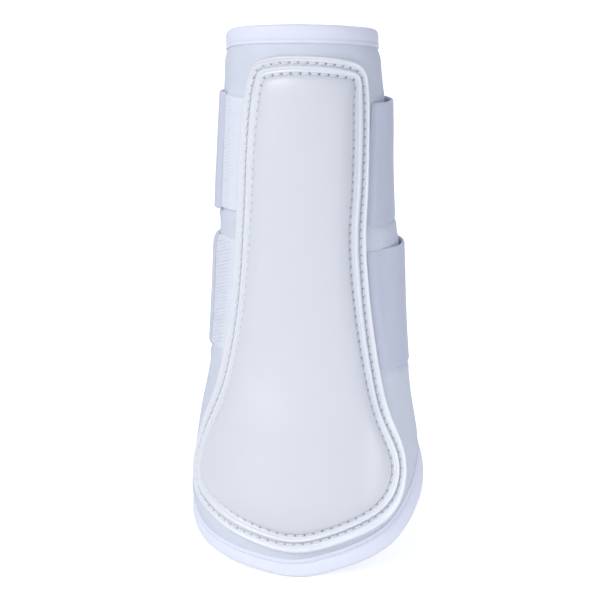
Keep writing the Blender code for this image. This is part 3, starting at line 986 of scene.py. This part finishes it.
def pad_outline():
    """The outline's points, clockwise from its upper left corner, and where each lies in PAD_OUTLINE."""
    flat = np.array([(math.radians(angle) * float(girth_radius(z)), z) for angle, z in PAD_OUTLINE])
    total = len(flat)
    counts = (PAD_COLUMNS, PAD_ROWS, PAD_COLUMNS, PAD_ROWS)
    loop, where = [], []
    t = np.arange(SPAN_SAMPLES)[:, None] / SPAN_SAMPLES
    for side, count in enumerate(counts):
        begin = PAD_CORNERS[side]
        spans = (PAD_CORNERS[(side + 1) % 4] - begin) % total
        fine = []
        for k in range(spans):
            fine.append(span(*(flat[(begin + k + j) % total] for j in (-1, 0, 1, 2)), t))
        fine = np.concatenate([*fine, flat[None, (begin + spans) % total]])
        lengths = run_length(fine)
        goals = np.arange(count) / count * lengths[-1]
        loop.append(along_line(fine, lengths, goals))
        places = begin + np.arange(len(fine)) / SPAN_SAMPLES
        where.append(np.mod(np.interp(goals, lengths, places), total))
    return np.concatenate(loop), np.concatenate(where)


def seam_inset(where, distance):
    """Real distance from the pad's edge for a distance in the profiles, at each place round the pad."""
    places, *seams = np.array(SEAM_KNOTS).T
    outer, inner = (np.interp(where, places, seam, period=len(PAD_OUTLINE)) for seam in seams)
    if distance <= OUTER_SEAM:
        return outer * distance / OUTER_SEAM
    if distance <= INNER_SEAM:
        return outer + (inner - outer) * (distance - OUTER_SEAM) / (INNER_SEAM - OUTER_SEAM)
    return inner + distance - INNER_SEAM


def blurred(values, width):
    """A smooth copy of values that go round a loop."""
    kernel = np.ones(width) / width
    padded = np.concatenate([values[-width:], values, values[:width]])
    return np.convolve(padded, kernel, "same")[width:-width]


def tangents(loop):
    return unit(np.roll(loop, -1, 0) - np.roll(loop, 1, 0))


def inset_rings(loop, where, distances):
    """The loop moved inwards to each distance, its points evened out as it shrinks."""
    rings = []
    at = 0.0
    blur = max(3, len(loop) // BLUR_PARTS)
    for goal in distances:
        steps = max(1, math.ceil((goal - at) / INSET_STEP))
        stops = np.linspace(at, goal, steps + 1)
        for before, after in zip(stops, stops[1:]):
            amount = blurred(seam_inset(where, after) - seam_inset(where, before), blur)
            rounding = ROUNDING if after <= INNER_SEAM else DEEP_ROUNDING
            along = tangents(loop)
            loop = loop + np.stack([along[:, 1], -along[:, 0]], 1) * amount[:, None]
            for _ in range(EVENING_PASSES):
                along = tangents(loop)
                pull = (np.roll(loop, -1, 0) + np.roll(loop, 1, 0)) / 2 - loop
                loop = loop + along * np.sum(pull * along, 1, keepdims=True) * EVENING + pull * rounding
        rings.append(loop)
        at = goal
    return rings


def fill(loop):
    """A grid of points (rows + 1, columns + 1) that fills the loop from its four sides."""
    columns, rows = PAD_COLUMNS, PAD_ROWS
    s = np.linspace(0, 1, columns + 1)[None, :, None]
    t = np.linspace(0, 1, rows + 1)[:, None, None]
    ring = np.concatenate([loop, loop[:1]])
    top = ring[: columns + 1][None]
    right = ring[columns : columns + rows + 1][::-1][:, None]
    bottom = ring[columns + rows : 2 * columns + rows + 1][::-1][None]
    left = ring[2 * columns + rows :][:, None]
    across = left * (1 - s) + right * s
    up = bottom * (1 - t) + top * t
    low = bottom[:, :1] * (1 - s) + bottom[:, -1:] * s
    high = top[:, :1] * (1 - s) + top[:, -1:] * s
    grid = across + up - low * (1 - t) - high * t
    return relaxed(grid, FILL_PASSES)


def relaxed(grid, passes):
    """The grid with its inner values evened out."""
    grid = grid.copy()
    for _ in range(passes):
        grid[1:-1, 1:-1] = (grid[:-2, 1:-1] + grid[2:, 1:-1] + grid[1:-1, :-2] + grid[1:-1, 2:]) / 4
    return grid


def fill_border():
    """Where the loop's points lie in the filled grid."""
    columns, rows = PAD_COLUMNS, PAD_ROWS
    width = columns + 1
    top = [rows * width + i for i in range(columns)]
    right = [(rows - j) * width + columns for j in range(rows)]
    bottom = [columns - i for i in range(columns)]
    left = [j * width for j in range(rows)]
    return top + right + bottom + left


def grid_faces(first):
    width = PAD_COLUMNS + 1
    corners = [first + j * width + i for j in range(PAD_ROWS) for i in range(PAD_COLUMNS)]
    return [(a, a + 1, a + width + 1, a + width) for a in corners]


def fan_faces(fine, coarse, scale):
    """Faces between a fine ring and a coarse one, given as lists of points."""
    count = len(coarse)
    faces = []
    for k in range(count):
        row = [fine[(scale * k + i) % len(fine)] for i in range(scale + 1)]
        faces.append((*row, coarse[(k + 1) % count], coarse[k]))
    return faces


def away_from(points, loop):
    """Distance of each point from the nearest point of a loop."""
    return np.sqrt(((points[:, None] - loop[None]) ** 2).sum(-1)).min(1)


def seam_points(ring, pitch):
    """Places of the needle holes, evenly round a ring, and a function that gives points between them."""
    closed = np.concatenate([ring, ring[:1]])
    lengths = run_length(closed)
    count = round(lengths[-1] / pitch)

    def at(steps):
        return along_line(closed, lengths, np.mod(np.asarray(steps) / count, 1.0) * lengths[-1])

    return at, count


def flat_angle(flat):
    return np.degrees(flat[..., 0] / girth_radius(flat[..., 1]))


def wrap(flat, height):
    """Points of the flat pattern, laid on the shell at a height (mm)."""
    return form(flat_angle(flat), flat[..., 1], height)


def ridge_share(distance):
    """1 on the pad's two pressed bands, 0 away from them."""
    bands = (ease(*RIDGE_EDGE, distance - low) * ease(*RIDGE_EDGE, high - distance) for low, high in RIDGES)
    return float(sum(bands))


def groove_share(distance):
    """1 along the pad's seams, where painted shade darkens the leather, 0 away from them."""
    return float(sum(hump(distance - seam, reach) for seam, reach in GROOVES))


def ridge_gloss_and_highlight(flat):
    """How glossy the ridges are, and how strong their painted highlight is: most on the pad's right side."""
    return LEFT_GLOSS_AND_HIGHLIGHT + (1 - LEFT_GLOSS_AND_HIGHLIGHT) * ease(*GLOSS_AND_HIGHLIGHT_SIDE, flat_angle(flat))


def hole_depth_and_shade(flat):
    """Share of the full depth and painted shade of the needle holes: less along the pad's left side, where
    light falls into them.
    """
    left = (1 - ease(*HOLE_SIDE, flat_angle(flat))) * plateau(*HOLE_HEIGHTS, flat[:, 1])
    return 1 - (1 - LEFT_HOLE_SHARE) * left


def corner_share(flat):
    """Share of the cover's full rise above its seam."""
    return 1 - CORNER_DROP * hump(np.linalg.norm(flat - np.array(LOW_CORNER), axis=1), CORNER_REACH)


def swelling(flat, height, cap):
    """How far a sheet held round its border swells under pressure (mm), no further than a cap."""
    if cap == 0:
        return np.zeros(len(flat))
    mesh = bpy.data.meshes.new("swelling")
    mesh.from_pydata((np.column_stack([flat, height]) * MM).tolist(), [], grid_faces(0))
    cloth_sheet = add_object("swelling", mesh)
    cloth_sheet.vertex_groups.new(name="border").add(fill_border(), 1.0, "REPLACE")
    settings = cloth_sheet.modifiers.new("cloth", "CLOTH").settings
    settings.vertex_group_mass = "border"
    settings.use_pressure = True
    settings.uniform_pressure_force = SWELL_PRESSURE
    settings.tension_stiffness = SWELL_STIFFNESS
    settings.compression_stiffness = SWELL_STIFFNESS
    settings.effector_weights.gravity = 0
    for step in range(1, SWELL_FRAMES + 1):
        scene.frame_set(step)
    swollen = cloth_sheet.evaluated_get(bpy.context.evaluated_depsgraph_get())
    lift = np.array([vertex.co.z for vertex in swollen.data.vertices]) / MM - height
    bpy.data.objects.remove(cloth_sheet)
    scene.frame_set(1)
    return cap * np.tanh(lift / cap)


def middle_start(profile, inside, crown):
    """Height of a layer's middle before it swells, at distances in from its border."""
    (before, low), (after, high) = profile[-2:]
    depth = PAD_SINK if crown else 0.0
    start = high + SLOPE_RUN * (high - low) / (after - before) - depth * (1 - np.exp(-inside / SINK_REACH))
    return relaxed(start.reshape(PAD_ROWS + 1, PAD_COLUMNS + 1), CROWN_PASSES).ravel()


def sheet_faces(first, rings, count, scale):
    """Faces of rings of points, and of the grid that fills the last one."""
    inside = first + rings * count
    border = [inside + i for i in fill_border()]
    edge = fan_faces(range(inside - count, inside), border, scale)
    return ring_faces(first, rings, count) + edge + grid_faces(inside)


def layer_faces(rings, count, scale):
    """Faces of a layer: rings of a count of points underneath, scale times as many on top, and its edge."""
    fine = count * scale
    under = rings * fine + (PAD_ROWS + 1) * (PAD_COLUMNS + 1)
    edge = fan_faces(range(fine), range(under, under + count), scale)
    return sheet_faces(0, rings, fine, scale) + edge + sheet_faces(under, rings, count, 1)


def pad_seam(name, height, at, holes):
    """The stitches of a seam at a height. at(step) gives points of it on the flat pattern, hole by hole."""
    lift = (PAD_STITCH_SINK + PAD_STITCH_STAND * PAD_THREAD) * plateau(*PAD_STITCH_RISE, PAD_STEPS)

    def sewn(step, out):
        return wrap(at(step), out)

    stitches = stitch_row(name, holes, PAD_STEPS, height - PAD_STITCH_SINK + lift, sewn, PAD_THREAD, THREAD)
    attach(stitches, "front")


def pad_layer(name, profile, floor, crown, material, seam=None, scale=FINE):
    """A layer of the pad: bordered, crowned, and closed underneath."""
    distances = [distance for distance, _ in profile]
    outline, where = pad_outline()
    *rings, coarse = inset_rings(outline, where, [*distances, distances[-1] + MIDDLE_INSET])
    fine_rings = [refine(ring, scale) for ring in rings]
    middle = fill(coarse).reshape(-1, 2)
    over = np.concatenate([*fine_rings, middle])
    base = dict(profile).get(INNER_SEAM, floor)

    def lowered(distance, values, places):
        """Heights inside the inner seam, brought down in the pad's low corner."""
        if distance <= INNER_SEAM or not crown:
            return values + 0 * places[:, 0]
        return base + (values - base) * corner_share(places)

    start = lowered(distances[-1], middle_start(profile, away_from(middle, coarse), crown), middle)
    crest = start + swelling(middle, start, crown)
    height, under_height = (
        np.concatenate([*(lowered(*level, ring) for level, ring in zip(profile, loops)), crest])
        for loops in (fine_rings, rings)
    )
    under_height = np.maximum(floor, under_height - SHEET_THICKNESS)
    under_height[: len(coarse)] = floor

    # Marks for shading: ridges with gloss and a painted highlight, painted shade in the grooves and needle
    # holes
    marks = {key: np.zeros(len(over) + len(under_height)) for key in ("pit", "ridge", "groove")}
    for key, share in (("ridge", ridge_share), ("groove", groove_share)):
        marks[key][: len(over) - len(middle)] = np.repeat([share(d) for d in distances], len(fine_rings[0]))
    marks["ridge"][: len(over)] *= ridge_gloss_and_highlight(over)
    if seam is not None:
        at, holes = seam_points(fine_rings[distances.index(seam)], PAD_STITCH)
        pits = hump(away_from(over, at(np.arange(holes))), HOLE_RADIUS) * hole_depth_and_shade(over)
        height = height - HOLE_DEPTH * pits
        marks["pit"][: len(over)] = pits

    flat = np.concatenate([over, *rings, middle])
    points = wrap(flat, np.concatenate([height, under_height]))
    piece = new_piece(name, points, layer_faces(len(rings), len(coarse), scale), flat, material, marks)
    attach(piece, "front")
    if seam is not None:
        pad_seam(f"{name}_seam", dict(profile)[seam], at, holes)
    return piece


welt = pad_layer("strike_pad_rim", WELT_PROFILE, WELT_FLOOR, 0.0, PAD, seam=OUTER_SEAM)
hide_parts("strike_pad_welt")
cover = pad_layer("strike_pad_dome", COVER_PROFILE, COVER_FLOOR, PAD_CROWN, PAD, seam=INNER_SEAM)
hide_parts("strike_pad_cover")
core = pad_layer("strike_pad_foam", CORE_PROFILE, CORE_FLOOR, PAD_CROWN, FOAM, scale=1)
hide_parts("strike_pad_core")


# Elastics and straps

PAD_EDGE = refine(pad_outline()[0], FINE)


def pad_edge_angle(side, z):
    """Angle between the front and the pad's edge at heights. side is 1 on the right, -1 on the left."""
    edge = PAD_EDGE[side * PAD_EDGE[:, 0] > 0]
    order = np.argsort(edge[:, 1])
    u = np.interp(z, edge[order, 1], side * edge[order, 0])
    return np.degrees(u / girth_radius(z))


def elastic_face(strap, along, t, start):
    """How far out an elastic's plain face is (mm): laid on the shell, then under the strap at its end."""
    z = strap_low_edge(strap, along) + STRAP_WIDTH * t
    laid = skin(-along, z) + ELASTIC_LIFT + ELASTIC_THICKNESS
    under = strap_face(strap, along, t) - STRAP_THICKNESS - ELASTIC_SEWN_GAP
    off = ease(start + ELASTIC_ROOM, STRAP_START[strap], along)
    return np.maximum(laid, laid * (1 - off) + under * off)


def elastic(strap):
    """The ribbed elastic, from under the pad's left edge to where it is sewn under the strap."""
    margin = (1 - ELASTIC_WIDTH / STRAP_WIDTH) / 2
    share, outward = out_and_back(*ELASTIC_ROWS)
    t = margin + (1 - 2 * margin) * share
    s = np.linspace(0, 1, STRAP_STATIONS)[:, None]
    start = pad_edge_angle(-1, strap_low_edge(strap, ELASTIC_START) + STRAP_WIDTH * t)
    start = start + np.degrees(ELASTIC_GAP / half_width(STRAP_MIDDLE[strap]))
    along = start + (ELASTIC_END - start) * s
    past = along - STRAP_START[strap]
    z = strap_low_edge(strap, along) + STRAP_WIDTH * t
    arc = np.radians(along) * half_width(z)
    inset = np.minimum(share, 1 - share)

    groove = np.sin(math.pi * (z + RIB_SLANT * arc) / RIB_PITCH) ** 2
    groove = groove * ease(*RIB_START, s) * ease(0, RIB_MARGIN, inset) * (1 - ease(-RIB_END, 0, past))
    crease = CREASE_HEIGHT[strap] * hump(np.radians(along - CREASE_ANGLE) * half_width(z), CREASE_REACH)
    thin = ELASTIC_THICKNESS * (1 - ease(*ELASTIC_THIN_EDGE, inset))
    sunk = EDGE_SINK * (1 - ease(0, EDGE_SINK_WIDTH, inset)) * (1 - ease(*EDGE_SINK_END, past))
    face = elastic_face(strap, along, t, start) - sunk
    outer = face - thin - RIB_HEIGHT[strap] * groove + crease
    points = form(-along, z, np.where(outward, outer, face - ELASTIC_THICKNESS))
    # Painted shade in the grooves between the ribs
    shade = np.where(outward, RIB_SHADE[strap] * groove, 0.0)
    piece = sweep(f"{strap}_ribbed_elastic", points, joined(arc, z), ELASTIC, {"groove": shade.ravel()})
    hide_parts(f"{strap}_elastic")
    bend(piece, "boot_opening", (0, 1, 0), BEND_REACH)


def tab_end(strap, t):
    """Angle along a strap where its free end stops, with rounded corners."""
    z = strap_low_edge(strap, TAB_END) + strap_width(strap, TAB_END) * t
    corner = np.clip(TAB_CORNER - np.minimum(t, 1 - t) * STRAP_WIDTH, 0, TAB_CORNER)
    rounded = TAB_CORNER - np.sqrt(TAB_CORNER**2 - corner**2)
    gap = TAB_EDGE_GAP[strap] + (TAB_TOP_GAP[strap] - TAB_EDGE_GAP[strap]) * t**2
    return 360 - pad_edge_angle(1, z) - np.degrees((gap + rounded) / half_width(z))


def strap_points(strap, along, t, height):
    """Points on a strap: t from its lower to its upper edge, height (mm) out from its inner face."""
    low = strap_low_edge(strap, along)
    offset = strap_face(strap, along, t) - STRAP_THICKNESS + height
    return form(-along, low + strap_width(strap, along) * t, offset)


def strap_section():
    """Closed section of a strap with rounded edges: share of the width, height (mm)."""
    turn = np.linspace(-math.pi / 2, math.pi / 2, STRAP_EDGE_POINTS)
    radius = STRAP_THICKNESS / 2
    t = np.linspace(0, 1, STRAP_FACE_POINTS + 2)[1:-1]
    low_t = (radius - radius * np.cos(turn)) / STRAP_WIDTH
    edge = radius + radius * np.sign(np.sin(turn)) * np.abs(np.sin(turn)) ** STRAP_EDGE_POWER
    share = np.concatenate([t, 1 - low_t[::-1], t[::-1], low_t])
    crown = STRAP_CROWN * np.sin(math.pi * t)
    height = np.concatenate([STRAP_THICKNESS + crown, edge[::-1], 0 * t, edge])
    return share, height


def strap_length(strap, name, start, end=None):
    """One length of a strap, from an angle along it to another, or to its free end."""
    share, height = strap_section()
    last = tab_end(strap, share) if end is None else end
    angle = start + (last - start) * np.linspace(0, 1, STRAP_STATIONS)[:, None] + 0 * share
    radius = half_width(STRAP_MIDDLE[strap])
    thin = 1.0
    if (strap, name) in THIN_SHARE:
        least = THIN_SHARE[strap, name]
        inside = np.abs(angle - (last if end is None else start))
        thin = least + (1 - least) * ease(0, THIN_REACH, np.radians(inside) * radius)
    points = strap_points(strap, angle, share, height * thin)
    weave = joined(np.radians(angle) * radius, share * STRAP_WIDTH)
    piece = sweep(f"{strap}_strap_{name}", points, weave, STRAP)
    return piece


def hook_patch(strap):
    """Hook tape under a strap's free end: a backing with rows of small hooks."""
    first = HOOK_START + math.degrees(HOOK_MARGIN / STRAP_MIDDLE[strap])
    margin = HOOK_MARGIN / STRAP_WIDTH
    radius = half_width(STRAP_MIDDLE[strap])
    s = np.linspace(0, 1, HOOK_STATIONS)[:, None]
    up = np.linspace(margin, 1 - margin, HOOK_STATIONS)
    t = np.concatenate([up, up[::-1]])
    height = np.repeat([-HOOK_SEAT, -HOOK_THICKNESS], HOOK_STATIONS)
    last = tab_end(strap, t) - math.degrees(HOOK_MARGIN / TAB_TURN_RADIUS)
    along = first + (last - first) * s
    weave = joined(np.radians(along) * radius, t * STRAP_WIDTH)
    patch = sweep(f"{strap}_hook_tape", strap_points(strap, along, t, height), weave, HOOK)
    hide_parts(f"{strap}_hook_patch")
    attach(patch, f"{strap}_tab")

    runs = []
    reach = math.radians(1) * radius
    ahead, down = np.array(HOOK_BOW).T * HOOK_LENGTH
    for row in np.arange(margin + HOOK_ROW_ROOM[0], 1 - margin - HOOK_ROW_ROOM[1], HOOK_PITCH / STRAP_WIDTH):
        last = float(tab_end(strap, row)) - math.degrees((HOOK_MARGIN + HOOK_END_ROOM) / TAB_TURN_RADIUS)
        for at in np.arange(first + HOOK_START_ROOM, last, HOOK_PITCH / reach):
            run = strap_points(strap, at + ahead / reach, row, HOOK_ROOT - HOOK_THICKNESS - down)
            here, beside = (strap_points(strap, at, t, -HOOK_THICKNESS) for t in (row, row + HOOK_SIDE_STEP))
            runs.append((run, np.broadcast_to(beside - here, run.shape)))
    hooks = threads(f"{strap}_hooks", runs, HOOK_RADIUS, HOOK, sides=5)
    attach(hooks, f"{strap}_tab")


for strap_name in STRAP_MIDDLE:
    elastic(strap_name)
    front = strap_length(strap_name, "sewn_length", STRAP_START[strap_name], LEFT_JOIN)
    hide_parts(f"{strap_name}_strap_front", f"{strap_name}_strap_left")
    bend(front, "boot_opening", (0, 1, 0), BEND_REACH)
    back = strap_length(strap_name, "back_length", LEFT_JOIN, BACK_JOIN)
    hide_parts(f"{strap_name}_strap_left", f"{strap_name}_strap_back")
    bend(back, f"{strap_name}_strap_swing", (1, 0, 0), BEND_REACH)
    free = strap_length(strap_name, "free_length", BACK_JOIN)
    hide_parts(f"{strap_name}_strap_back", f"{strap_name}_strap_tab")
    bend(free, f"{strap_name}_tab_peel", (0, -1, 0), TAB_BEND_REACH)
    hook_patch(strap_name)


# Stage: floor, lights and camera

scene.view_settings.view_transform = "Standard"

FLOOR_SIZE = 60.0
FLOOR_LEVEL = -0.0004
FLOOR_COLOUR = (0.95, 0.95, 0.95)
FLOOR_ROUGHNESS = 0.9
FLOOR_GLOW = 0.55
WORLD_COLOUR = (0.88, 0.96, 1.16, 1)
WORLD_STRENGTH = 0.38
WHITE = (1.0, 1.0, 1.0)
CAMERA_PLACE = Vector((0, -1.0, 0.2902))
CAMERA_AIM = Vector((0, 0, 0.1112))
PHOTO_SIZE = 600
FOCAL_PIXELS = 2332
SENSOR_WIDTH = 36.0
AIM_PIXEL = (305.0, 301.5)


def seen_rays(tree):
    """1 for the rays that show the background, straight, mirrored or through glass, and 0 for the rest."""
    path = add_node(tree, "ShaderNodeLightPath")
    seen = path.outputs["Is Camera Ray"]
    for kind in ("Is Glossy Ray", "Is Transmission Ray"):
        links = [(0, seen), (1, path.outputs[kind])]
        seen = add_node(tree, "ShaderNodeMath", links, operation="MAXIMUM").outputs[0]
    return seen


def make_floor():
    mesh = bpy.data.meshes.new("floor")
    bm = bmesh.new()
    bmesh.ops.create_grid(bm, x_segments=1, y_segments=1, size=FLOOR_SIZE / 2)
    bm.to_mesh(mesh)
    bm.free()
    floor = add_object("floor", mesh)
    floor.location.z = FLOOR_LEVEL
    nodes = Nodes("floor_white", FLOOR_COLOUR, FLOOR_ROUGHNESS)
    nodes.shader.inputs["Emission Color"].default_value = (*WHITE, 1)
    nodes.link(nodes.math("MULTIPLY", seen_rays(nodes.tree), FLOOR_GLOW), "Emission Strength")
    mesh.materials.append(nodes.material)


def make_world():
    """Even pale light, which the camera sees as white."""
    world = bpy.data.worlds.new("studio")
    world.use_nodes = True
    tree = world.node_tree
    background = tree.nodes["Background"]
    background.inputs["Color"].default_value = WORLD_COLOUR
    values = [("To Min", WORLD_STRENGTH), ("To Max", 1.0)]
    strength = add_node(tree, "ShaderNodeMapRange", [("Value", seen_rays(tree))], values)
    tree.links.new(strength.outputs["Result"], background.inputs["Strength"])
    scene.world = world


def make_light(name, kind, power, place, way):
    """A light at a place, which shines against a way."""
    light = bpy.data.lights.new(name, kind)
    light.energy = power
    lamp = add_object(name, light)
    lamp.location = place
    lamp.rotation_euler = way.to_track_quat("Z", "Y").to_euler()
    return lamp


def make_sun(name, turn, climb, power, spread, colour=WHITE):
    """A far soft light, from a turn round the boot and a climb above level (degrees)."""
    turn, climb = math.radians(turn), math.radians(climb)
    way = Vector((math.sin(turn) * math.cos(climb), -math.cos(turn) * math.cos(climb), math.sin(climb)))
    sun = make_light(name, "SUN", power, way, way).data
    sun.color = colour
    sun.angle = math.radians(spread)


def make_lamp(name, place, aim, size, power):
    """A small soft lamp near the boot, which the camera doesn't see."""
    lamp = make_light(name, "AREA", power, place, Vector(place) - Vector(aim))
    lamp.data.size = size
    lamp.visible_camera = False


def make_camera():
    data = bpy.data.cameras.new("camera")
    data.sensor_width = SENSOR_WIDTH
    data.lens = FOCAL_PIXELS / PHOTO_SIZE * SENSOR_WIDTH
    data.shift_x = (PHOTO_SIZE / 2 - AIM_PIXEL[0]) / PHOTO_SIZE
    data.shift_y = (AIM_PIXEL[1] - PHOTO_SIZE / 2) / PHOTO_SIZE
    camera = add_object("camera", data)
    camera.location = CAMERA_PLACE
    camera.rotation_euler = (CAMERA_AIM - CAMERA_PLACE).to_track_quat("-Z", "Y").to_euler()
    scene.camera = camera


make_floor()
make_world()
make_sun("key", turn=-38, climb=30, power=1.53, spread=40, colour=(1.0, 1.0, 0.98))
make_sun("fill", turn=10, climb=8, power=0.43, spread=50)
make_lamp("side", place=(0.187, -0.110, 0.04), aim=(0.03, -0.02, 0.025), size=0.06, power=0.046)
make_sun("back", turn=165, climb=30, power=0.6, spread=50)
make_camera()
